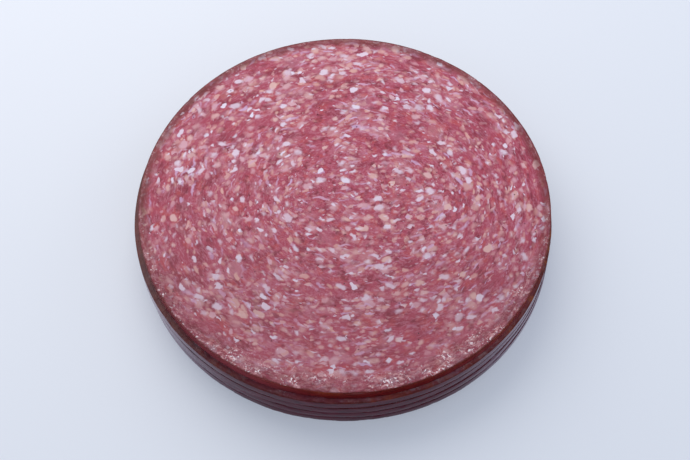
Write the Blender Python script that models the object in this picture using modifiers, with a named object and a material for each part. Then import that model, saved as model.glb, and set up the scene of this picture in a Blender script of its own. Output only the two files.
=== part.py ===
"""A short stack of round bologna slices, metres, +Z up.

The slices lie flat on each other. The origin is on the surface that the stack rests on, under
its middle. Each slice is one piece: a disc with rounded edges and a gently uneven outline.
"""

import math

import bmesh
import bpy

THICKNESS = 0.00285
TOP_THICKNESS = 0.0043
SLICE_GAP = 0.0003
EDGE_ROUND = 0.0007
EDGE_ROUND_STEPS = 3
OUTLINE_STEPS = 84

# Bottom slice first: thickness, radius, sideways shift (x, y), turn about the axis in degrees.
SLICES = (
    (THICKNESS, 0.05840, 0.00015, -0.00025, 0.0),
    (THICKNESS, 0.05850, 0.00010, -0.00020, 9.0),
    (THICKNESS, 0.05868, -0.00035, -0.00015, 4.0),
    (THICKNESS, 0.05872, -0.00045, -0.00015, -6.0),
    (TOP_THICKNESS, 0.05770, 0.00000, 0.00005, 2.0),
)

# Waves around the outline: how many in one turn, height, and where they start in degrees.
OUTLINE_WAVES = ((2, 0.00022, 25.0), (3, 0.00012, 110.0), (5, 0.00006, 60.0), (9, 0.00003, 15.0))

SMOKED_BEEF = (0.36, 0.10, 0.11, 1.0)
BEEF_ROUGHNESS = 0.38


def outline_radius(radius, angle):
    """The slice's radius in one direction: a circle with a few low waves."""
    waves = sum(
        height * math.sin(count * angle + math.radians(start))
        for count, height, start in OUTLINE_WAVES
    )
    return radius + waves


def slice_mesh(name, radius, thickness):
    """A closed disc that stands on z = 0, with the uneven outline."""
    mesh = bpy.data.meshes.new(name)
    disc = bmesh.new()
    bmesh.ops.create_cone(
        disc,
        cap_ends=True,
        segments=OUTLINE_STEPS,
        radius1=radius,
        radius2=radius,
        depth=thickness,
    )
    for corner in disc.verts:
        angle = math.atan2(corner.co.y, corner.co.x)
        reach = outline_radius(radius, angle)
        corner.co.x = reach * math.cos(angle)
        corner.co.y = reach * math.sin(angle)
        corner.co.z += thickness / 2
    disc.to_mesh(mesh)
    disc.free()
    return mesh


def round_edges(thing):
    """Softens the cut edges; the disc's upright side lines stay as they are."""
    bevel = thing.modifiers.new("soft_edge", "BEVEL")
    bevel.width = EDGE_ROUND
    bevel.segments = EDGE_ROUND_STEPS
    bevel.limit_method = "ANGLE"
    bevel.angle_limit = math.radians(60.0)


def beef_material():
    """Smoked cured beef: dark red and a little moist."""
    material = bpy.data.materials.new("smoked_beef")
    material.use_nodes = True
    surface = material.node_tree.nodes["Principled BSDF"]
    surface.inputs["Base Color"].default_value = SMOKED_BEEF
    surface.inputs["Roughness"].default_value = BEEF_ROUGHNESS
    surface.inputs["Metallic"].default_value = 0.0
    material.diffuse_color = SMOKED_BEEF
    return material


def add_slice(number, base, collection):
    """One slice that stands at the height of base; number 1 is the bottom one."""
    thickness, radius, shift_x, shift_y, turn = SLICES[number - 1]
    name = f"slice_{number}"
    thing = bpy.data.objects.new(name, slice_mesh(name, radius, thickness))
    collection.objects.link(thing)
    thing.location = (shift_x, shift_y, base)
    thing.rotation_euler.z = math.radians(turn)
    thing.data.materials.append(beef_material())
    round_edges(thing)
    thing.data.shade_smooth()
    thing.data.set_sharp_from_angle(angle=math.radians(40.0))


def main():
    """Clears the scene and stacks the slices."""
    for old in list(bpy.data.objects):
        bpy.data.objects.remove(old, do_unlink=True)
    collection = bpy.data.collections.new("bologna_stack")
    bpy.context.scene.collection.children.link(collection)
    base = 0.0
    for number, (thickness, *_) in enumerate(SLICES, start=1):
        add_slice(number, base, collection)
        base += thickness + SLICE_GAP


main()
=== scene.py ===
"""Looks of a short stack of sliced bologna: five round slices of coarse smoked beef sausage.

Everything is in metres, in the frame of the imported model, with +Z up. Sizes named _mm are in
millimetres. Each slice gets one fine mesh, with its cut faces, its crumbly edges and its smoked
skin, and two materials, one for the cut faces and one for the skin. Both come from the same
nodes, which read where on the slice they are from the mesh's own attributes.
"""

import logging
import math
from dataclasses import dataclass, field
from enum import Enum

import bpy
import numpy as np
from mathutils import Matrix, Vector, noise


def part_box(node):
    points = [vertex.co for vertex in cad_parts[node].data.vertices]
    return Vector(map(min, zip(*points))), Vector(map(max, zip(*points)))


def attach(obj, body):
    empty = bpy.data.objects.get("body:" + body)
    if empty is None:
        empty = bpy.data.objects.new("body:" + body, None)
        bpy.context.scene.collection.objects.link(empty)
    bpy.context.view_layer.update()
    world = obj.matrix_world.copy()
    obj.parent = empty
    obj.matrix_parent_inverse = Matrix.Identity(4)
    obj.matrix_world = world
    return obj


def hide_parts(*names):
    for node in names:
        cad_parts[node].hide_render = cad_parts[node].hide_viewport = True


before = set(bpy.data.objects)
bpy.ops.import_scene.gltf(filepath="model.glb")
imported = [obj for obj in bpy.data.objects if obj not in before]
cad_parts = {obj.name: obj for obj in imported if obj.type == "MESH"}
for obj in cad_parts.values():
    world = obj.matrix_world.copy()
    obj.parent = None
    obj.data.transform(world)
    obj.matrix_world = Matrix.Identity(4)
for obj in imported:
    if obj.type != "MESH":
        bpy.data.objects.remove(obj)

MM = 0.001
LOG = logging.getLogger("bologna_stack")

# Soft random relief: how fast its finer layers fade, and how much finer each one is.
RIPPLE_FADE = 0.9
RIPPLE_STEP = 2.1

# What each mesh point tells the material: its distance from the outline in millimetres, and
# whether it is on the skin, shows amber fat, is torn into crumbs, takes painted shade towards
# the front, is pressed purple under the slices above and takes a pale painted reflection at the
# sides, each from 0 to 1.
MARKS = ("inset", "skin", "fat", "torn", "dull", "pressed", "bloom")

Colour = tuple[float, float, float, float]
Number = "Signal | float"


def shade(red: int, green: int, blue: int) -> Colour:
    """Turns a colour as a screen shows it into the light values that a shader takes.

    Args:
        red: Red, 0 to 255.
        green: Green, 0 to 255.
        blue: Blue, 0 to 255.

    Returns:
        The linear colour with full alpha.
    """
    values = [(part / 255.0) for part in (red, green, blue)]
    linear = [v / 12.92 if v <= 0.04045 else ((v + 0.055) / 1.055) ** 2.4 for v in values]
    return (linear[0], linear[1], linear[2], 1.0)


def ease(low: float, high: float, values: np.ndarray) -> np.ndarray:
    """Rises smoothly from 0 at low to 1 at high.

    Args:
        low: Where the rise starts.
        high: Where it ends; it may be below low, for a fall.
        values: The values to read.

    Returns:
        The smooth step of each value.
    """
    part = np.clip((values - low) / (high - low), 0.0, 1.0)
    return part * part * (3.0 - 2.0 * part)


def ripple(points: np.ndarray, size_mm: float, octaves: int, seed: float) -> np.ndarray:
    """Reads soft random relief at each point.

    Args:
        points: Points in millimetres, one row each.
        size_mm: Width of the largest lumps.
        octaves: How many finer layers are added.
        seed: Moves the pattern, so that two readings differ.

    Returns:
        One value a point, about -1 to 1.
    """
    shift = Vector((seed, seed * 0.37, seed * 1.71))
    scaled = points / size_mm
    relief = [noise.fractal(Vector(p) + shift, RIPPLE_FADE, RIPPLE_STEP, octaves) for p in scaled]
    return np.array(relief)


class Signal:
    """One value that flows through a material's nodes, with ordinary arithmetic."""

    def __init__(self, sketch: "Sketch", socket: bpy.types.NodeSocket) -> None:
        """Wraps an output socket.

        Args:
            sketch: The material sketch that the socket belongs to.
            socket: The output.
        """
        self.sketch = sketch
        self.socket = socket

    def __add__(self, other: Number) -> "Signal":
        """Adds."""
        return self.sketch.math("ADD", self, other)

    def __radd__(self, other: float) -> "Signal":
        """Adds, with the number first."""
        return self.sketch.math("ADD", other, self)

    def __sub__(self, other: Number) -> "Signal":
        """Takes away."""
        return self.sketch.math("SUBTRACT", self, other)

    def __rsub__(self, other: float) -> "Signal":
        """Takes this from a number."""
        return self.sketch.math("SUBTRACT", other, self)

    def __mul__(self, other: Number) -> "Signal":
        """Multiplies."""
        return self.sketch.math("MULTIPLY", self, other)


class Sketch:
    """A short way to write a material's nodes."""

    def __init__(self, name: str) -> None:
        """Starts an empty material.

        Args:
            name: The material's name.
        """
        self.material = bpy.data.materials.new(name)
        self.material.use_nodes = True
        self.tree = self.material.node_tree
        self.tree.nodes.clear()

    def node(self, kind: str, **options: object) -> bpy.types.Node:
        """Adds a node.

        Args:
            kind: The node's type without its ShaderNode prefix.
            **options: Properties to set on it.

        Returns:
            The new node.
        """
        made = self.tree.nodes.new("ShaderNode" + kind)
        for key, value in options.items():
            setattr(made, key, value)
        return made

    def show(self, shader: bpy.types.Node) -> None:
        """Makes a shader what the material shows."""
        output = self.node("OutputMaterial")
        self.tree.links.new(shader.outputs["BSDF"], output.inputs["Surface"])

    def feed(self, socket: bpy.types.NodeSocket, value: object) -> None:
        """Sets an input, by a link or by a value.

        Args:
            socket: The input.
            value: A signal, a number, a vector or a colour.
        """
        if isinstance(value, Signal):
            self.tree.links.new(value.socket, socket)
        else:
            socket.default_value = value

    def math(self, operation: str, *values: object) -> Signal:
        """Adds a Math node.

        Args:
            operation: Its operation.
            *values: Its inputs.

        Returns:
            Its result.
        """
        made = self.node("Math", operation=operation)
        for socket, value in zip(made.inputs, values):
            self.feed(socket, value)
        return Signal(self, made.outputs[0])

    def vector(self, operation: str, first: object, second: object = None) -> Signal:
        """Adds a Vector Math node.

        Args:
            operation: Its operation.
            first: Its first input.
            second: Its second input, a factor for SCALE.

        Returns:
            Its result, a number for LENGTH and DOT_PRODUCT.
        """
        made = self.node("VectorMath", operation=operation)
        self.feed(made.inputs[0], first)
        if second is not None:
            self.feed(made.inputs["Scale" if operation == "SCALE" else 1], second)
        number = operation in ("LENGTH", "DOT_PRODUCT")
        return Signal(self, made.outputs["Value" if number else "Vector"])

    def join(self, x: object, y: object, z: object) -> Signal:
        """Makes a vector of three numbers.

        Args:
            x: Its first number.
            y: Its second number.
            z: Its third number.

        Returns:
            The vector.
        """
        made = self.node("CombineXYZ")
        for socket, value in zip(made.inputs, (x, y, z)):
            self.feed(socket, value)
        return Signal(self, made.outputs[0])

    def split(self, value: Signal) -> list[Signal]:
        """Takes a vector or colour apart.

        Args:
            value: The vector or colour.

        Returns:
            Its three numbers.
        """
        made = self.node("SeparateXYZ")
        self.feed(made.inputs[0], value)
        return [Signal(self, out) for out in made.outputs]

    def step(self, low: object, high: object, value: Signal) -> Signal:
        """Rises smoothly from 0 to 1.

        Args:
            low: The value at which the rise starts.
            high: The value at which it ends; it may be below low, for a fall.
            value: The value to read.

        Returns:
            The smooth step.
        """
        made = self.node("MapRange", interpolation_type="SMOOTHSTEP")
        for name, number in (("Value", value), ("From Min", low), ("From Max", high)):
            self.feed(made.inputs[name], number)
        return Signal(self, made.outputs["Result"])

    def noise(self, place: Signal, scale: float, detail: float) -> bpy.types.Node:
        """Adds a noise texture node.

        Args:
            place: Where to read it.
            scale: How many lumps fit in one unit of place.
            detail: How many finer layers it has.

        Returns:
            The new node.
        """
        made = self.node("TexNoise", noise_dimensions="3D")
        self.feed(made.inputs["Vector"], place)
        made.inputs["Scale"].default_value = scale
        made.inputs["Detail"].default_value = detail
        return made

    def seeds(self, place: Signal, scale: float) -> bpy.types.Node:
        """Adds a texture node that finds the nearest of many random spots.

        Args:
            place: Where to read it.
            scale: How many spots fit in one unit of place.

        Returns:
            The new node.
        """
        made = self.node("TexVoronoi", voronoi_dimensions="3D", feature="F1")
        self.feed(made.inputs["Vector"], place)
        made.inputs["Scale"].default_value = scale
        return made

    def moved(self, place: Signal, shift: tuple[float, float, float]) -> Signal:
        """Moves a place, so that two readings of the same noise differ."""
        return self.vector("ADD", place, shift)

    def cloud(self, place: Signal, scale: float, detail: float = 3.0, rough: float = 0.55) -> Signal:
        """Reads soft noise, about 0 to 1 and mostly near a half.

        Args:
            place: Where to read it.
            scale: How many lumps fit in one unit of place.
            detail: How many finer layers it has.
            rough: How strong the finer layers are.

        Returns:
            The noise.
        """
        made = self.noise(place, scale, detail)
        made.inputs["Roughness"].default_value = rough
        return Signal(self, made.outputs[0])

    def wander(self, place: Signal, scale: float, reach: float, detail: float = 2.0) -> Signal:
        """Shifts a place by noise, so that edges drawn there come out uneven.

        Args:
            place: The place.
            scale: How many lumps of the noise fit in one unit of place.
            reach: How far the noise shifts it.
            detail: How many finer layers the noise has.

        Returns:
            The shifted place.
        """
        made = self.noise(place, scale, detail)
        centred = self.vector("SUBTRACT", Signal(self, made.outputs["Color"]), (0.5, 0.5, 0.5))
        return self.vector("ADD", place, self.vector("SCALE", centred, reach))

    def attribute(self, name: str, vector: bool = False) -> Signal:
        """Reads one of the mesh's own attributes."""
        made = self.node("Attribute", attribute_name=name)
        return Signal(self, made.outputs["Vector" if vector else "Fac"])

    def blend(self, amount: Number, under: object, over: object) -> Signal:
        """Lays one colour over another.

        Args:
            amount: How much of the upper colour shows, 0 to 1.
            under: The lower colour.
            over: The upper colour.

        Returns:
            The mixed colour.
        """
        # The node has a set of sockets for each data type; 6, 7 and 2 are the ones for colours.
        made = self.node("Mix", data_type="RGBA", clamp_factor=True)
        self.feed(made.inputs[0], amount)
        self.feed(made.inputs[6], under)
        self.feed(made.inputs[7], over)
        return Signal(self, made.outputs[2])


@dataclass(frozen=True)
class Flecks:
    """One sort of fleck in the meat, set in a loose pattern along the grain.

    Attributes:
        cell_mm: About how far apart the places are where a fleck may lie.
        long: Half its length along the grain, in cells.
        wide: Half its width, in cells.
        share: The share of places that hold a fleck.
        soft: How blurred its edge is, in cells.
        ragged: How uneven its outline is, in cells.
        cover: How opaque the strongest ones are.
        faint: How much fainter than those the weakest ones are, 0 to 1.
        tint: Its colour.
        other: The colour that the flecks vary towards.
        shift: Moves this sort's pattern apart from the others'.
        stray: How far it may turn from the grain, in radians.
        corners: How angular it is, 0 for round to 1 for square.
    """

    cell_mm: float
    long: float
    wide: float
    share: float
    soft: float
    ragged: float
    cover: float
    faint: float
    tint: Colour
    other: Colour
    shift: float
    stray: float = 0.6
    corners: float = 0.0


@dataclass(frozen=True)
class Surface:
    """What differs between the moist cut face and the smoked skin, apart from colour.

    Attributes:
        name: The material's name.
        ior: Index of refraction.
        sheen: Strength of the shader's pale sheen seen at a slant.
        sheen_spread: Roughness of that sheen.
        sheen_tint: Colour of that sheen.
    """

    name: str
    ior: float
    sheen: float = 0.0
    sheen_spread: float = 0.35
    sheen_tint: Colour = (0.80, 0.80, 1.0, 1.0)


@dataclass(frozen=True)
class Reading:
    """What a slice's material reads at each place.

    Attributes:
        s: The material's sketch.
        place: The place in millimetres.
        stream: Coordinates that run with the grain.
        turn: Direction of the grain, as an angle.
        inset: Distance from the outline in millimetres.
        skin: 1 on the smoked skin, 0 on a cut face.
        cut: 1 on a cut face, 0 on the smoked skin.
        torn: How far the face is torn into crumbs, 0 to 1.
        mottle: Fine unevenness, about 0 to 1.
        crowd: Where flecks gather, 0 to 1.
    """

    s: Sketch
    place: Signal
    stream: Signal
    turn: Signal
    inset: Signal
    skin: Signal
    cut: Signal
    torn: Signal
    mottle: Signal
    crowd: Signal


@dataclass(frozen=True)
class MeatFinish:
    """The look of a slice: marbled cut face, crumbly edge and smoked skin.

    Its colours are named for what they colour.

    Attributes:
        swirl_turn: How far noise turns the flecks out of the grain, in radians.
        fleck_break: How far the meat's mottle eats into a fleck's outline, in fleck sizes.
        bump_mm: Height of the finest relief, which only the shading shows.
        sorts: The sorts of fleck, undermost first.
    """

    swirl_turn: float = 2.4
    fleck_break: float = 0.45
    bump_mm: float = 0.16
    lean: Colour = shade(162, 58, 82)
    lean_dark: Colour = shade(134, 32, 58)
    lean_deep: Colour = shade(112, 20, 44)
    lean_warm: Colour = shade(184, 72, 74)
    lean_pale: Colour = shade(190, 114, 134)
    fibre: Colour = shade(202, 138, 158)
    # Painted shade, laid over the front of the cut face.
    dull: Colour = shade(118, 70, 76)
    edge_brown: Colour = shade(112, 50, 56)
    crumb: Colour = shade(216, 164, 168)
    # Painted highlight: near-white glints on the torn crumbs.
    painted_glint: Colour = shade(246, 232, 238)
    rim_line: Colour = shade(98, 30, 30)
    skin: Colour = shade(104, 20, 22)
    skin_dark: Colour = shade(72, 8, 16)
    pressed: Colour = shade(84, 18, 38)
    pressed_dark: Colour = shade(60, 12, 32)
    # Painted reflection: pale tints laid on the skin's sides, rosy on the top slice and lavender on the
    # pressed ones, in place of the floor and room mirrored in the glossy skin.
    painted_reflection_fresh: Colour = shade(182, 92, 104)
    bloom: Colour = shade(170, 148, 168)
    groove: Colour = shade(46, 14, 30)
    amber: Colour = shade(148, 60, 24)
    skin_fat: Colour = shade(160, 90, 50)
    pore: Colour = shade(70, 26, 34)
    sorts: tuple[Flecks, ...] = (
        Flecks(
            cell_mm=5.0, long=0.62, wide=0.34, share=0.55, soft=0.24, ragged=0.45, stray=0.4,
            cover=0.52, faint=0.4, tint=shade(208, 150, 152), other=shade(190, 124, 150), shift=3.1,
        ),
        Flecks(
            cell_mm=1.35, long=0.50, wide=0.27, share=0.60, soft=0.15, ragged=0.30,
            cover=0.66, faint=0.7, tint=shade(214, 156, 154), other=shade(202, 146, 174), shift=11.7,
        ),
        Flecks(
            cell_mm=2.3, long=0.52, wide=0.28, share=0.72, soft=0.15, ragged=0.34, stray=0.5,
            cover=0.88, faint=0.6, tint=shade(218, 168, 158), other=shade(206, 148, 162), shift=23.9,
        ),
        Flecks(
            cell_mm=3.4, long=0.43, wide=0.29, share=0.62, soft=0.11, ragged=0.40, corners=0.1,
            cover=0.92, faint=0.45, tint=shade(220, 178, 172), other=shade(212, 166, 180), shift=67.1,
        ),
        Flecks(
            cell_mm=3.0, long=0.72, wide=0.12, share=0.50, soft=0.08, ragged=0.45, stray=0.35,
            cover=0.84, faint=0.6, tint=shade(204, 172, 210), other=shade(208, 160, 186), shift=37.3,
        ),
        Flecks(
            cell_mm=1.6, long=0.34, wide=0.14, share=0.26, soft=0.06, ragged=0.20,
            cover=0.90, faint=0.5, tint=shade(222, 200, 218), other=shade(214, 178, 200), shift=83.7,
        ),
        Flecks(
            cell_mm=3.1, long=0.44, wide=0.24, share=0.46, soft=0.08, ragged=0.50, corners=0.3,
            cover=1.0, faint=0.35, tint=shade(226, 218, 236), other=shade(222, 198, 214), shift=51.3,
        ),
    )

    def build(self, surface: Surface) -> bpy.types.Material:
        """Makes a material that reads the slice's attributes.

        Args:
            surface: The surface that it is for.

        Returns:
            The finished material.
        """
        s = Sketch(surface.name)
        at = self.read(s)
        colour = self.lean_colour(at)
        whole = 1.0 - at.torn * 0.6
        for sort in self.sorts:
            mask, tone = self.fleck_layer(at, sort)
            tint = s.blend(tone, sort.tint, sort.other)
            colour = s.blend(mask * whole * sort.cover, colour, tint)
        pores = self.pores(at)
        colour = s.blend(pores, colour, self.pore)
        # Painted shade: the cut face is darkened towards the front and its front corners, in place of the
        # light falling off there.
        colour = s.blend(s.attribute("dull") * 0.30, colour, self.dull)
        colour = self.rim_colour(at, colour)
        colour = s.blend(at.skin, colour, self.skin_colour(at))
        colour = s.blend(at.skin * s.step(0.01, 0.12, at.inset) * 0.9, colour, self.groove)
        colour = self.fat_colour(at, colour)
        self.finish(at, surface, colour, pores)
        return s.material

    def read(self, s: Sketch) -> Reading:
        """Reads what the colours and the relief share.

        Args:
            s: The sketch to add to.

        Returns:
            What the material reads at each place.
        """
        place = s.vector("SCALE", Signal(s, s.node("TexCoord").outputs["Object"]), 1.0 / MM)
        grain = s.split(s.attribute("grain", vector=True))
        swirl = s.cloud(place, 0.16, 2.0) - 0.5
        stream = s.wander(s.attribute("stream", vector=True), 0.45, 1.3)
        skin = s.attribute("skin")
        return Reading(
            s=s,
            place=place,
            stream=stream,
            turn=s.math("ARCTAN2", grain[1], grain[0]) * 0.5 + swirl * self.swirl_turn,
            inset=s.attribute("inset"),
            skin=skin,
            cut=1.0 - skin,
            torn=s.attribute("torn"),
            mottle=s.cloud(place, 1.7, 5.0, 0.72),
            crowd=s.step(0.36, 0.62, s.cloud(s.moved(stream, (7.0, 3.0, 1.0)), 0.17, 2.5)),
        )

    def lean_colour(self, at: Reading) -> Signal:
        """The lean meat: crimson, with darker and warmer patches and fibres along the grain.

        Args:
            at: What the material reads.

        Returns:
            Its colour.
        """
        s, stream = at.s, at.stream
        dark = s.step(0.46, 0.66, s.cloud(stream, 0.32, 3.0, 0.5))
        warm = s.step(0.50, 0.66, s.cloud(s.moved(stream, (31.0, 5.0, 9.0)), 0.40, 3.0))
        pale = s.step(0.44, 0.66, s.cloud(s.moved(stream, (3.0, 47.0, 2.0)), 0.42, 4.0, 0.6))
        blots = s.step(0.57, 0.69, s.cloud(s.moved(stream, (17.0, 23.0, 6.0)), 0.5, 2.0))
        colour = s.blend(dark, self.lean, self.lean_dark)
        colour = s.blend(warm * 0.6, colour, self.lean_warm)
        speckle = s.step(0.40, 0.64, at.mottle)
        colour = s.blend(speckle * (pale * 0.60 + 0.10), colour, self.lean_pale)
        strands = s.cloud(s.vector("MULTIPLY", stream, (2.6, 1.0, 1.0)), 1.0, 3.0, 0.6)
        colour = s.blend(s.step(0.48, 0.74, strands) * 0.5, colour, self.fibre)
        colour = s.blend(s.step(0.42, 0.26, strands) * 0.2, colour, self.lean_dark)
        return s.blend(blots * 0.65, colour, self.lean_deep)

    def fleck_layer(self, at: Reading, sort: Flecks) -> tuple[Signal, Signal]:
        """Strews one sort of fleck over the meat.

        Args:
            at: What the material reads.
            sort: The sort of fleck.

        Returns:
            Where the flecks are, 0 to 1, and how far each one's tint varies.
        """
        s = at.s
        cells = s.moved(s.vector("SCALE", at.place, 1.0 / sort.cell_mm), (sort.shift,) * 3)
        uneven = s.wander(cells, 1.8, sort.ragged, 1.5)
        nearest = s.seeds(uneven, 1.0)
        spot = Signal(s, nearest.outputs["Position"])
        offset = s.vector("SUBTRACT", uneven, spot)
        chance, size, tone = s.split(Signal(s, nearest.outputs["Color"]))
        dice = s.node("TexWhiteNoise", noise_dimensions="3D")
        s.feed(dice.inputs["Vector"], spot)
        stray, slim, cover = s.split(Signal(s, dice.outputs["Color"]))
        angle = at.turn + (stray - 0.5) * (2.0 * sort.stray)
        along = s.join(s.math("COSINE", angle), s.math("SINE", angle), 0.0)
        x = s.vector("DOT_PRODUCT", offset, along) * (1.0 / sort.long)
        across = s.vector("DOT_PRODUCT", s.vector("CROSS_PRODUCT", along, offset), (0.0, 0.0, 1.0))
        y = across * (1.35 - slim * 0.6) * (1.0 / sort.wide)
        z = s.split(offset)[2] * (0.7 / sort.long)
        round_reach = s.vector("LENGTH", s.join(x, y, z))
        square_reach = s.math("MAXIMUM", s.math("ABSOLUTE", x), s.math("ABSOLUTE", y)) * 1.12
        reach = round_reach + (square_reach - round_reach) * sort.corners
        broken = reach + (at.mottle - 0.5) * self.fleck_break
        bound = size * size * 0.75 + 0.42
        blur = (1.7 - cover * 1.2) * (sort.soft / sort.wide)
        mask = s.step(bound + blur, bound - blur, broken)
        held = s.math("LESS_THAN", chance, (at.crowd * 1.35 + 0.33) * sort.share)
        return mask * held * (cover * sort.faint + 1.0 - sort.faint), tone

    def pores(self, at: Reading) -> Signal:
        """Tiny dark holes, few and far between.

        Args:
            at: What the material reads.

        Returns:
            Where the holes are, 0 to 1.
        """
        s = at.s
        nearest = s.seeds(at.place, 0.36)
        chance = s.split(Signal(s, nearest.outputs["Color"]))[0]
        dot = s.step(0.10, 0.04, Signal(s, nearest.outputs["Distance"]))
        return dot * s.math("LESS_THAN", chance, 0.5) * 0.8

    def rim_colour(self, at: Reading, colour: Signal) -> Signal:
        """The outer millimetres of a cut face: darker, and torn into pale crumbs in front, with painted
        glints on them.

        Args:
            at: What the material reads.
            colour: The meat's own colour.

        Returns:
            The colour there.
        """
        s, torn = at.s, at.torn
        worn = s.cloud(at.place, 0.35, 4.0, 0.65)
        rim = s.step(3.8, 0.2, at.inset + (worn - 0.5) * 3.0)
        colour = s.blend(rim * (1.0 - torn * 0.95) * 0.92 * at.cut, colour, self.rim_line)
        ground = s.step(0.36, 0.64, s.cloud(s.moved(at.stream, (5.0, 8.0, 3.0)), 0.9, 3.0, 0.6))
        colour = s.blend(torn * at.cut * (ground * 0.34 + 0.12), colour, self.edge_brown)
        patch = s.step(0.40, 0.60, s.cloud(s.moved(at.place, (9.0, 4.0, 2.0)), 0.20, 3.0))
        ragged = torn * at.cut * (patch * 0.75 + 0.25)
        grains = s.step(0.47, 0.62, s.cloud(at.stream, 1.2, 4.0, 0.75))
        colour = s.blend(grains * ragged * 0.9, colour, self.crumb)
        # Painted glints: near-white specks on the torn crumbs stand in for light caught by their moist
        # facets.
        painted_glint_spots = s.step(0.57, 0.63, s.cloud(at.place, 1.5, 3.0, 0.6))
        colour = s.blend(painted_glint_spots * ragged * (patch * 0.8 + 0.2), colour, self.painted_glint)
        line = s.step(0.55, 0.10, at.inset + (worn - 0.5) * 1.6)
        return s.blend(line * 0.85, colour, self.rim_line)

    def skin_colour(self, at: Reading) -> Signal:
        """The smoked skin: dark red-brown, finely banded, and purple where slices press on it.

        Args:
            at: What the material reads.

        Returns:
            Its colour, with a pale painted reflection at its sides.
        """
        s = at.s
        flat = s.vector("MULTIPLY", at.place, (0.35, 0.35, 2.2))
        bands = s.step(0.42, 0.66, s.cloud(flat, 0.8, 4.0, 0.6))
        fresh = s.blend(bands, self.skin, self.skin_dark)
        pressed = s.blend(bands, self.pressed, self.pressed_dark)
        under = s.attribute("pressed")
        # Painted reflection: at the sides the skin is tinted paler, rosy on the top slice and lavender on the
        # others, in place of the floor and room it would mirror.
        painted_reflection_colour = s.blend(under, self.painted_reflection_fresh, self.bloom)
        return s.blend(s.attribute("bloom") * (1.0 - bands * 0.3), s.blend(under, fresh, pressed), painted_reflection_colour)

    def fat_colour(self, at: Reading, colour: Signal) -> Signal:
        """Amber fat by the cut edge, with paler spots where it is thickest.

        Args:
            at: What the material reads.
            colour: The colour without it.

        Returns:
            The colour with it.
        """
        s = at.s
        fat = s.attribute("fat")
        spots = s.step(0.60, 0.85, fat + (s.cloud(at.place, 1.5, 3.0, 0.6) - 0.5) * 1.2)
        return s.blend(spots * 0.8, s.blend(fat * 0.85, colour, self.amber), self.skin_fat)

    def finish(self, at: Reading, surface: Surface, colour: Signal, pores: Signal) -> None:
        """Joins colour, gloss and fine relief in the shader.

        Args:
            at: What the material reads.
            surface: The surface that the material is for.
            colour: The surface colour.
            pores: Where the small holes are.
        """
        s = at.s
        shader = s.node("BsdfPrincipled")
        s.feed(shader.inputs["Base Color"], colour)
        moist = s.cloud(at.place, 0.5, 3.0)
        face_gloss = 0.58 - moist * 0.18
        skin_gloss = 0.10 + moist * 0.12
        gloss = face_gloss + (skin_gloss - face_gloss) * at.skin
        s.feed(shader.inputs["Roughness"], gloss)
        shader.inputs["IOR"].default_value = surface.ior
        shader.inputs["Sheen Weight"].default_value = surface.sheen
        shader.inputs["Sheen Roughness"].default_value = surface.sheen_spread
        shader.inputs["Sheen Tint"].default_value = surface.sheen_tint
        height = s.cloud(at.place, 0.9, 4.0) * 0.35
        grit = s.cloud(at.place, 3.0, 3.0, 0.6) * (0.08 + at.torn * at.cut * 2.4)
        bump = s.node("Bump")
        bump.inputs["Strength"].default_value = 0.8
        bump.inputs["Distance"].default_value = self.bump_mm * MM
        s.feed(bump.inputs["Height"], height + grit - pores)
        s.feed(shader.inputs["Normal"], Signal(s, bump.outputs["Normal"]))
        s.show(shader)


@dataclass(frozen=True)
class Grain:
    """The swirl that filling the sausage left in the meat: rings that close in on a flat middle.

    Attributes:
        middle: Centre of the swirl from the slice's centre, in radii.
        spread: Half the length of the flat middle, in radii.
        ring_mm: How coarse the streaks are along a ring at the outline.
    """

    middle: tuple[float, float] = (0.14, 0.03)
    spread: float = 0.36
    ring_mm: float = 5.0

    def read(self, unit: np.ndarray, radius_mm: float) -> tuple[np.ndarray, np.ndarray]:
        """Finds the swirl at places on a slice.

        Args:
            unit: Places on the slice, in radii from its centre, one row each.
            radius_mm: The slice's radius.

        Returns:
            The doubled direction of the grain, and coordinates that run with the rings.
        """
        r2 = np.minimum((unit**2).sum(axis=1), 1.2)
        x = unit[:, 0] - self.middle[0] * (1.0 - r2)
        y = unit[:, 1] - self.middle[1] * (1.0 - r2)
        near = np.hypot(x - self.spread, y)
        far = np.hypot(x + self.spread, y)
        major = (near + far) / 2.0
        minor = np.sqrt(np.maximum(major**2 - self.spread**2, 1e-9))
        lean = np.arctan2(y, x - self.spread) + np.arctan2(y, x + self.spread)
        doubled = lean + math.pi
        direction = np.column_stack([np.cos(doubled), np.sin(doubled), np.zeros(len(unit))])
        cosine = x / major
        sine = y / minor
        ring = 2.0 * radius_mm / self.ring_mm
        stream = np.column_stack([minor * radius_mm, cosine * ring, sine * ring])
        return direction, stream


class Role(Enum):
    """Where a slice lies in the stack, which decides which of its cut faces can be seen."""

    TOP = "top"
    INNER = "inner"
    BOTTOM = "bottom"


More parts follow.
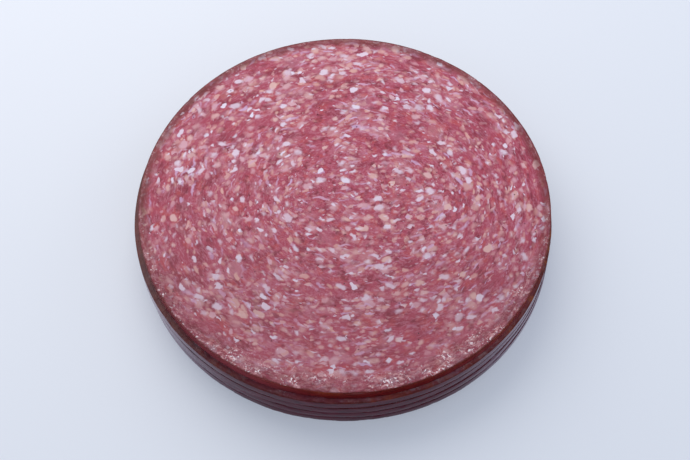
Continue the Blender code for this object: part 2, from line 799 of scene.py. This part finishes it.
@dataclass
class MeatSlice:
    """One slice: two cut faces, crumbly cut edges and the smoked skin between them.

    Attributes:
        node: The CAD node that it stands for.
        role: Where it lies in the stack.
        steps: How many mesh squares run along a quarter of its outline.
        edge_mm: How far the cut edges are rounded.
        belly_mm: How far the skin bulges between the cut edges.
        tuck_mm: How far the skin falls in below its upper edge.
        slant_mm: How much narrower the slice is at its foot.
        crumb_mm: Height of the crumbs by the edge.
        nick_mm: Depth of the pits along the cut edges.
        streak_mm: Depth of the streaks along the skin.
        shy_mm: How far the skin stays inside the CAD outline.
        sway_mm: How far the outline sways in and out.
        swell_mm: Height of the slow waves on a cut face.
        grain_mm: Height of the meat's grain on a cut face.
        droop_mm: How far a cut face falls off towards its edge.
        sink_mm: How far a cut face lies under the CAD's plane.
        fill_mm: How far a hidden cut face goes into the gap to the next slice.
        rim_mm: Width of the fine ring on a hidden cut face.
        torn_mm: Width of the torn rim at the back.
        torn_front_mm: How much wider the torn rim is in front.
        side_bloom: How much pale reflection is painted on pressed skin at the sides, 0 to 1.
        back_bloom: The same at the back.
        amber: How much fat shows through by the upper cut edge, 0 to 1.
        amber_reach: How far down the skin that goes, 0 to 1.
        seed: Makes this slice's unevenness its own.
        edge_rows: Rows of mesh round each cut edge.
        skin_rows: Rows of mesh down the skin between them.
        rim_rows: Rows of mesh on a cut face that is hidden but for its edge.
    """

    node: str
    role: Role
    steps: int = 180
    edge_mm: float = 0.04
    belly_mm: float = 0.02
    tuck_mm: float = 0.0
    slant_mm: float = 0.05
    crumb_mm: float = 0.10
    nick_mm: float = 0.08
    streak_mm: float = 0.03
    shy_mm: float = 0.08
    sway_mm: float = 0.10
    swell_mm: float = 0.10
    grain_mm: float = 0.035
    droop_mm: float = 0.12
    sink_mm: float = 0.06
    fill_mm: float = 0.13
    rim_mm: float = 3.2
    torn_mm: float = 1.6
    torn_front_mm: float = 5.6
    side_bloom: float = 0.52
    back_bloom: float = 0.14
    amber: float = 0.15
    amber_reach: float = 0.12
    seed: float = 1.0
    edge_rows: int = 4
    skin_rows: int = 12
    rim_rows: int = 9
    grain: Grain = field(default_factory=Grain)

    def __post_init__(self) -> None:
        """Takes the slice's place and size from the frame."""
        low, high = (np.array(corner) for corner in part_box(self.node))
        self.centre = (low + high)[:2] / 2.0 / MM
        self.radii = (high - low)[:2] / 2.0 / MM
        self.radius = float(self.radii.mean())
        self.low = float(low[2] / MM)
        self.high = float(high[2] / MM)

    def ring(self, angles: np.ndarray, rise: float) -> np.ndarray:
        """Places around the slice's axis to read relief at, with rise in radii."""
        return np.column_stack([np.cos(angles), np.sin(angles), np.full(len(angles), rise)]) * self.radius

    def outline(self, angles: np.ndarray, drop: float) -> np.ndarray:
        """How far the skin reaches in each direction.

        Args:
            angles: Directions about the slice's axis.
            drop: How far down the skin, 0 at the upper cut edge to 1 at the lower one.

        Returns:
            The reach in millimetres.
        """
        base = 1.0 / np.hypot(np.cos(angles) / self.radii[0], np.sin(angles) / self.radii[1])
        ring = self.ring(angles, 0.0)
        ring[:, 2] = drop * 1.2
        slow = ripple(ring, 22.0, 2, self.seed)
        ring[:, 2] = drop * 9.0
        streaks = ripple(ring, 5.0, 3, self.seed + 5.0)
        hollow = 1.0 - (1.0 - min(drop / 0.55, 1.0)) ** 2
        lean = self.belly_mm * math.sin(math.pi * drop) - self.tuck_mm * hollow - self.slant_mm * drop
        return base - self.shy_mm + slow * self.sway_mm + streaks * self.streak_mm + lean

    def nicks(self, angles: np.ndarray, side: float) -> np.ndarray:
        """Depth of the pits along a cut edge, in millimetres."""
        pits = ripple(self.ring(angles, side), 4.2, 3, self.seed + 17.0)
        return ease(0.25, 0.75, pits) * self.nick_mm

    def fat_share(self, angles: np.ndarray, drop: float) -> np.ndarray:
        """How much amber fat shows through by the upper cut edge, 0 to 1.

        Args:
            angles: Directions about the slice's axis.
            drop: How far down the skin.

        Returns:
            The share in each direction.
        """
        ring = self.ring(angles, 0.0)
        spots = 0.35 + 0.65 * ease(-0.3, 0.6, ripple(ring, 3.0, 3, self.seed + 31.0))
        sides = ease(0.0, 0.9, np.cos(angles) + ripple(ring, 16.0, 2, self.seed + 3.0) * 0.6)
        fade = 1.0 - float(ease(0.0, self.amber_reach, np.array(drop)))
        return spots * (0.3 + 0.7 * sides) * self.amber * fade

    def bloom_share(self, angles: np.ndarray, drop: float) -> np.ndarray:
        """How much pale reflection is painted on the skin: none in front, most at the sides.

        Args:
            angles: Directions about the slice's axis.
            drop: How far down the skin.

        Returns:
            The share in each direction, 0 to 1.
        """
        if self.role is Role.TOP:
            low = float(ease(0.3, 0.7, np.array(drop)))
            right = ease(0.30, 0.90, np.cos(angles)) * 0.30 * low
            left = ease(0.05, 0.60, -np.cos(angles)) * 0.45
            return (right + left) * ease(0.4, -0.3, np.sin(angles))
        back = ease(-0.45, 0.25, np.sin(angles))
        bloom = self.side_bloom + (self.back_bloom - self.side_bloom) * back
        return ease(-0.96, -0.50, np.sin(angles)) * bloom

    def quarter_grid(self) -> tuple[np.ndarray, np.ndarray]:
        """A square net of points laid over a round disc, with even squares.

        Returns:
            The points in radii, and which of them lie on the rim, going round.
        """
        count = self.steps + 1
        line = np.linspace(-1.0, 1.0, count)
        u, v = (g.ravel() for g in np.meshgrid(line, line, indexing="ij"))
        wide = np.abs(u) > np.abs(v)
        reach = np.where(wide, u, v)
        safe = np.where(reach == 0.0, 1.0, reach)
        quarter = math.pi / 4.0
        angle = np.where(wide, quarter * v / safe, 2.0 * quarter - quarter * u / safe)
        points = np.column_stack([reach * np.cos(angle), reach * np.sin(angle)])
        index = np.arange(count * count).reshape(count, count)
        rim = np.concatenate([index[:-1, 0], index[-1, :-1], index[:0:-1, -1], index[0, :0:-1]])
        return points, rim

    def build(self) -> bpy.types.Object:
        """Makes the slice's mesh with its attributes.

        Returns:
            The slice, without its material.
        """
        self.points: list[np.ndarray] = []
        self.marks: dict[str, list[np.ndarray]] = {mark: [] for mark in MARKS}
        self.faces: list[tuple[int, ...]] = []
        self.count = 0
        if self.role is Role.TOP:
            top = self.open_face(self.high, 1.0)
        else:
            top = self.hidden_face(self.high + self.fill_mm, 1.0)
        if self.role is Role.BOTTOM:
            bottom = self.open_face(self.low, -1.0)
        else:
            bottom = self.hidden_face(self.low - self.fill_mm, -1.0)
        self.cut_faces = len(self.faces)
        self.add_skin(top, bottom)
        return self.to_object()

    def add(self, points: np.ndarray, **marks: np.ndarray | float) -> np.ndarray:
        """Adds points to the mesh.

        Args:
            points: Places in millimetres, one row each.
            **marks: What the material reads there, by the names in MARKS; 0 where left out.

        Returns:
            Their numbers.
        """
        self.points.append(points)
        for mark, values in self.marks.items():
            values.append(np.full(len(points), marks.get(mark, 0.0)))
        first = self.count
        self.count += len(points)
        return np.arange(first, self.count)

    def rim_reach(self, angles: np.ndarray, side: float) -> np.ndarray:
        """How far a cut face reaches before its edge turns over."""
        return self.outline(angles, 0.0 if side > 0 else 1.0) - self.edge_mm - self.nicks(angles, side)

    def torn_share(self, flat: np.ndarray, inset: np.ndarray) -> np.ndarray:
        """How far a cut face is torn into crumbs, most in front, which is also where the painted glints on
        them show.

        Args:
            flat: Places in millimetres, two numbers a row.
            inset: Distance from the outline.

        Returns:
            The share, 0 to 1.
        """
        spot = np.column_stack([flat, np.zeros(len(flat))])
        front = ease(-0.1, 0.8, -flat[:, 1] / self.radius)
        wavy = ripple(spot, 9.0, 2, self.seed + 23.0) * 1.3
        width = self.torn_mm + self.torn_front_mm * front + wavy
        return ease(1.0, 0.25, inset / np.maximum(width, 0.5)) * (0.3 + 0.7 * front)

    def face_relief(
        self, flat: np.ndarray, inset: np.ndarray, torn: np.ndarray, side: float
    ) -> np.ndarray:
        """Height of a cut face over its plane.

        Args:
            flat: Places in millimetres, two numbers a row.
            inset: Distance from the outline.
            torn: How far it is torn into crumbs there.
            side: 1 for the upper face, -1 for the lower.

        Returns:
            The height in millimetres.
        """
        spot = np.column_stack([flat, np.full(len(flat), self.seed * 3.0 + side)])
        swell = ripple(spot, 30.0, 2, self.seed) * self.swell_mm * ease(0.5, 7.0, inset)
        grain = ripple(spot, 2.6, 4, self.seed + 2.0) * self.grain_mm
        crumbs = np.abs(ripple(spot, 1.3, 3, self.seed + 9.0)) * self.crumb_mm * torn
        return swell + grain + crumbs - self.droop_mm * ease(1.2, 0.0, inset) - self.sink_mm

    def open_face(self, height: float, side: float) -> np.ndarray:
        """A cut face that can be seen, as an even net.

        Args:
            height: Height of its plane in millimetres.
            side: 1 for the upper face, -1 for the lower.

        Returns:
            The numbers of its rim points, going round.
        """
        unit, rim = self.quarter_grid()
        angles = np.arctan2(unit[:, 1], unit[:, 0])
        part = np.hypot(unit[:, 0], unit[:, 1])
        even = self.radius - self.edge_mm
        reach = even + (self.rim_reach(angles, side) - even) * part**4
        flat = unit * reach[:, None]
        inset = reach * (1.0 - part) + self.edge_mm
        torn = self.torn_share(flat, inset)
        z = height + side * self.face_relief(flat, inset, torn, side)
        if side < 0:
            z = np.maximum(z, height)
        # Painted shade: how far the cut face is darkened, rising towards the front and its front corners.
        front = -flat[:, 1] / self.radius
        wings = np.abs(flat[:, 0]) / self.radius * ease(0.1, 0.5, front)
        dull = ease(-0.35, 0.95, front + wings * 0.45)
        numbers = self.add(np.column_stack([flat, z]), inset=inset, torn=torn, dull=dull)
        index = numbers.reshape(self.steps + 1, self.steps + 1)
        quads = np.stack([index[:-1, :-1], index[1:, :-1], index[1:, 1:], index[:-1, 1:]], axis=-1)
        quads = quads.reshape(-1, 4)
        self.faces.extend(map(tuple, quads if side > 0 else quads[:, ::-1]))
        return numbers[rim]

    def hidden_face(self, height: float, side: float) -> np.ndarray:
        """A cut face that lies on the next slice, with a fine ring only by its edge.

        Args:
            height: Height of its plane in millimetres.
            side: 1 for the upper face, -1 for the lower.

        Returns:
            The numbers of its rim points, going round.
        """
        angles = self.rim_angles()
        reach = self.rim_reach(angles, side)
        rings = []
        for row in range(self.rim_rows):
            inset = self.rim_mm * (1.0 - row / (self.rim_rows - 1)) ** 1.3
            along = reach - inset
            flat = np.column_stack([np.cos(angles) * along, np.sin(angles) * along])
            depth = np.full(len(angles), inset + self.edge_mm)
            torn = np.full(len(angles), 0.45)
            relief = self.face_relief(flat, depth, torn, side) * ease(self.rim_mm, 2.0, depth)
            z = height + side * (relief if row else np.zeros(len(angles)))
            crust = ease(2.4, 1.2, depth) * (0.25 + 0.50 * ease(0.2, 0.8, -np.cos(angles)))
            fat = self.fat_share(angles, 0.0) * ease(2.4, 0.8, depth)
            rings.append(
                self.add(np.column_stack([flat, z]), inset=depth, skin=crust, fat=fat, torn=torn)
            )
        cap = rings[0] if side > 0 else rings[0][::-1]
        self.faces.append(tuple(cap))
        for inner, outer in zip(rings, rings[1:]):
            self.strip(inner, outer, side < 0)
        return rings[-1]

    def rim_angles(self) -> np.ndarray:
        """Directions of the rim points, in the order in which the net's rim goes round."""
        unit, rim = self.quarter_grid()
        return np.arctan2(unit[rim, 1], unit[rim, 0])

    def strip(self, inner: np.ndarray, outer: np.ndarray, turned: bool) -> None:
        """Joins two rings of points by squares.

        Args:
            inner: The first ring.
            outer: The second ring.
            turned: Whether the squares face the other way.
        """
        quads = np.column_stack([inner, outer, np.roll(outer, -1), np.roll(inner, -1)])
        self.faces.extend(map(tuple, quads[:, ::-1] if turned else quads))

    def skin_profile(self, depth: float) -> list[tuple[float, float, float]]:
        """The skin's section from the upper cut edge down to the lower one.

        Args:
            depth: Mean height from one cut edge to the other.

        Returns:
            For each row its share of the height, the share of the edge's rounding and pits that
            is taken off there, and which edge that is, 1 for the upper and -1 for the lower.
        """
        corner = self.edge_mm / depth
        turns = [math.pi / 2.0 * step / self.edge_rows for step in range(1, self.edge_rows + 1)]
        upper = [(corner * (1.0 - math.cos(a)), 1.0 - math.sin(a), 1.0) for a in turns]
        lower = [(1.0 - part, cut, -1.0) for part, cut, _ in reversed(upper)]
        gap = (1.0 - 2.0 * corner) / self.skin_rows
        between = [(corner + gap * row, 0.0, 1.0) for row in range(1, self.skin_rows)]
        return upper + between + lower

    def add_skin(self, top: np.ndarray, bottom: np.ndarray) -> None:
        """The smoked skin from the upper cut edge to the lower one.

        Args:
            top: The upper face's rim points.
            bottom: The lower face's rim points.
        """
        angles = self.rim_angles()
        all_points = np.concatenate(self.points)
        top_z, bottom_z = all_points[top, 2], all_points[bottom, 2]
        pits = {side: self.nicks(angles, side) for side in (1.0, -1.0)}
        ring = top
        for part, cut, side in self.skin_profile(float((top_z - bottom_z).mean())):
            near = part if side > 0 else 1.0 - part
            pitted = pits[side] * max(cut, float(ease(0.30, 0.08, np.array(near))))
            reach = self.outline(angles, part) - self.edge_mm * cut - pitted
            z = top_z + (bottom_z - top_z) * part
            points = np.column_stack([np.cos(angles) * reach, np.sin(angles) * reach, z])
            fat = self.fat_share(angles, part)
            seam = 0.0 if side > 0 and self.role is Role.TOP else self.edge_mm * cut
            pressed = 0.0 if self.role is Role.TOP else 1.0
            # Share of pale painted reflection on the skin here.
            bloom = self.bloom_share(angles, part)
            following = self.add(points, inset=seam, skin=1.0, fat=fat, pressed=pressed, bloom=bloom)
            self.strip(ring, following, False)
            ring = following
        self.strip(ring, bottom, False)

    def to_object(self) -> bpy.types.Object:
        """Turns the gathered points and faces into an object in its place.

        Returns:
            The slice, whose faces take its first material where cut and its second on the skin.
        """
        points = np.concatenate(self.points)
        mesh = bpy.data.meshes.new(self.node + "_meat")
        placed = points + [self.centre[0], self.centre[1], 0.0]
        mesh.from_pydata((placed * MM).tolist(), [], [tuple(map(int, f)) for f in self.faces])
        mesh.update()
        direction, stream = self.grain.read(points[:, :2] / self.radius, self.radius)
        stream[:, 0] += self.seed * 13.0
        for name, values in self.marks.items():
            layer = mesh.attributes.new(name, "FLOAT", "POINT")
            layer.data.foreach_set("value", np.concatenate(values).astype(np.float32))
        for name, rows in (("grain", direction), ("stream", stream)):
            layer = mesh.attributes.new(name, "FLOAT_VECTOR", "POINT")
            layer.data.foreach_set("vector", rows.astype(np.float32).ravel())
        mesh.shade_smooth()
        casing = np.arange(len(self.faces)) >= self.cut_faces
        mesh.polygons.foreach_set("material_index", casing.astype(np.int32))
        thing = bpy.data.objects.new(self.node + "_meat", mesh)
        bpy.context.scene.collection.objects.link(thing)
        return thing


@dataclass
class SliceStack:
    """The five slices, bottom first.

    Attributes:
        finish: The look that all of them share.
        cut: The surface of the cut faces.
        casing: The skin of the top slice, which is fresh.
        pressed_casing: The skin of the others, which the slices above press on.
    """

    finish: MeatFinish = field(default_factory=MeatFinish)
    cut: Surface = Surface("bologna_meat", ior=1.33)
    casing: Surface = Surface("smoked_casing", ior=1.18)
    pressed_casing: Surface = Surface("pressed_casing", ior=1.18, sheen=0.12)

    def slices(self) -> list[MeatSlice]:
        """The slices with their own sizes and unevenness."""
        return [
            MeatSlice("slice_1", Role.BOTTOM, steps=200, edge_mm=0.14, nick_mm=0.24, belly_mm=0.05, seed=1.3),
            MeatSlice("slice_2", Role.INNER, edge_mm=0.13, nick_mm=0.26, belly_mm=0.04, seed=2.9),
            MeatSlice("slice_3", Role.INNER, seed=4.1),
            MeatSlice("slice_4", Role.INNER, crumb_mm=0.34, amber=0.8, seed=5.7),
            MeatSlice(
                "slice_5", Role.TOP, steps=250, edge_mm=0.06, belly_mm=0.0, tuck_mm=0.22, slant_mm=0.0,
                nick_mm=0.12, amber=1.0, amber_reach=0.9, seed=7.9,
            ),
        ]

    def build(self) -> None:
        """Makes, dresses and reports every slice."""
        cut_look = self.finish.build(self.cut)
        fresh_look = self.finish.build(self.casing)
        pressed_look = self.finish.build(self.pressed_casing)
        for meat in self.slices():
            thing = meat.build()
            thing.data.materials.append(cut_look)
            thing.data.materials.append(fresh_look if meat.role is Role.TOP else pressed_look)
            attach(thing, "root")
            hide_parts(meat.node)
            LOG.info("%s: %d points, %s", thing.name, len(thing.data.vertices), meat.role.value)


@dataclass(frozen=True)
class Lamp:
    """A round soft lamp that faces the stack.

    Attributes:
        name: The lamp's name.
        place: Where it hangs, in metres.
        size: Its width, in metres.
        power: Its power, in watts.
        tint: Its colour.
    """

    name: str
    place: tuple[float, float, float]
    size: float
    power: float
    tint: tuple[float, float, float]

    def hang(self) -> None:
        """Hangs the lamp in the scene."""
        lamp = bpy.data.lights.new(self.name, "AREA")
        lamp.shape = "DISK"
        lamp.size = self.size
        lamp.energy = self.power
        lamp.color = self.tint
        thing = bpy.data.objects.new(self.name, lamp)
        thing.location = self.place
        thing.rotation_euler = (-Vector(self.place)).to_track_quat("-Z", "Y").to_euler()
        bpy.context.scene.collection.objects.link(thing)


@dataclass
class Studio:
    """Plain pale floor, soft light and the camera.

    Attributes:
        floor_reach: Half the floor's width, in metres.
        floor_tint: The floor's colour.
        floor_glow: Colour of the light that the floor gives off, as if lit from far around.
        glow_strength: Strength of that light.
        sky_tint: Colour of the light from all round.
        sky_strength: Strength of that light.
        lamps: The lamps, the main one at the back left.
        view_pitch_deg: How steeply the camera looks down.
        view_distance: How far it is from the stack, in metres.
        view_shift: How far it is moved sideways and up in its picture's plane, in metres.
        lens_mm: Its focal length.
        sensor_mm: Its sensor's width.
    """

    floor_reach: float = 2.0
    floor_tint: Colour = shade(188, 191, 197)
    floor_glow: Colour = shade(220, 229, 246)
    glow_strength: float = 0.30
    sky_tint: Colour = (0.79, 0.87, 1.0, 1.0)
    sky_strength: float = 0.62
    lamps: tuple[Lamp, ...] = (
        Lamp("key", place=(-0.18, 0.36, 0.35), size=0.70, power=2.68, tint=(1.0, 0.935, 0.87)),
        Lamp("fill", place=(0.36, 0.20, 0.16), size=0.30, power=0.30, tint=(0.90, 0.93, 1.0)),
    )
    view_pitch_deg: float = 60.15
    view_distance: float = 0.4342
    view_shift: tuple[float, float] = (0.28 * MM, 1.14 * MM)
    lens_mm: float = 78.26
    sensor_mm: float = 36.0

    def build(self) -> None:
        """Sets up floor, light and camera."""
        self.add_floor()
        self.add_sky()
        for lamp in self.lamps:
            lamp.hang()
        self.add_camera()

    def add_floor(self) -> None:
        """A wide matte surface under the stack."""
        mesh = bpy.data.meshes.new("floor")
        reach = self.floor_reach
        corners = [(-reach, -reach, 0.0), (reach, -reach, 0.0), (reach, reach, 0.0), (-reach, reach, 0.0)]
        mesh.from_pydata(corners, [], [(0, 1, 2, 3)])
        floor = bpy.data.objects.new("floor", mesh)
        bpy.context.scene.collection.objects.link(floor)
        s = Sketch("pale_floor")
        shader = s.node("BsdfPrincipled")
        shader.inputs["Base Color"].default_value = self.floor_tint
        shader.inputs["Roughness"].default_value = 0.55
        shader.inputs["Emission Color"].default_value = self.floor_glow
        shader.inputs["Emission Strength"].default_value = self.glow_strength
        s.show(shader)
        mesh.materials.append(s.material)

    def add_sky(self) -> None:
        """Even cool light from all round."""
        world = bpy.data.worlds.new("soft_room")
        world.use_nodes = True
        background = world.node_tree.nodes["Background"]
        background.inputs["Color"].default_value = self.sky_tint
        background.inputs["Strength"].default_value = self.sky_strength
        bpy.context.scene.world = world
        bpy.context.scene.view_settings.view_transform = "Standard"

    def add_camera(self) -> None:
        """The camera looks down on the stack from the front."""
        camera = bpy.data.cameras.new("camera")
        camera.lens = self.lens_mm
        camera.sensor_width = self.sensor_mm
        camera.clip_start = 0.01
        thing = bpy.data.objects.new("camera", camera)
        pitch = math.radians(self.view_pitch_deg)
        ahead = Vector((0.0, math.cos(pitch), -math.sin(pitch)))
        up = Vector((0.0, math.sin(pitch), math.cos(pitch)))
        side, lift = self.view_shift
        thing.location = Vector((side, 0.0, 0.0)) - ahead * self.view_distance + up * lift
        thing.rotation_euler = (math.pi / 2.0 - pitch, 0.0, 0.0)
        bpy.context.scene.collection.objects.link(thing)
        bpy.context.scene.camera = thing


def main() -> None:
    """Builds the stack and its studio."""
    logging.basicConfig(level=logging.INFO, format="%(name)s: %(message)s")
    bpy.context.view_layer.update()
    SliceStack().build()
    Studio().build()


if __name__ == "__main__":
    main()
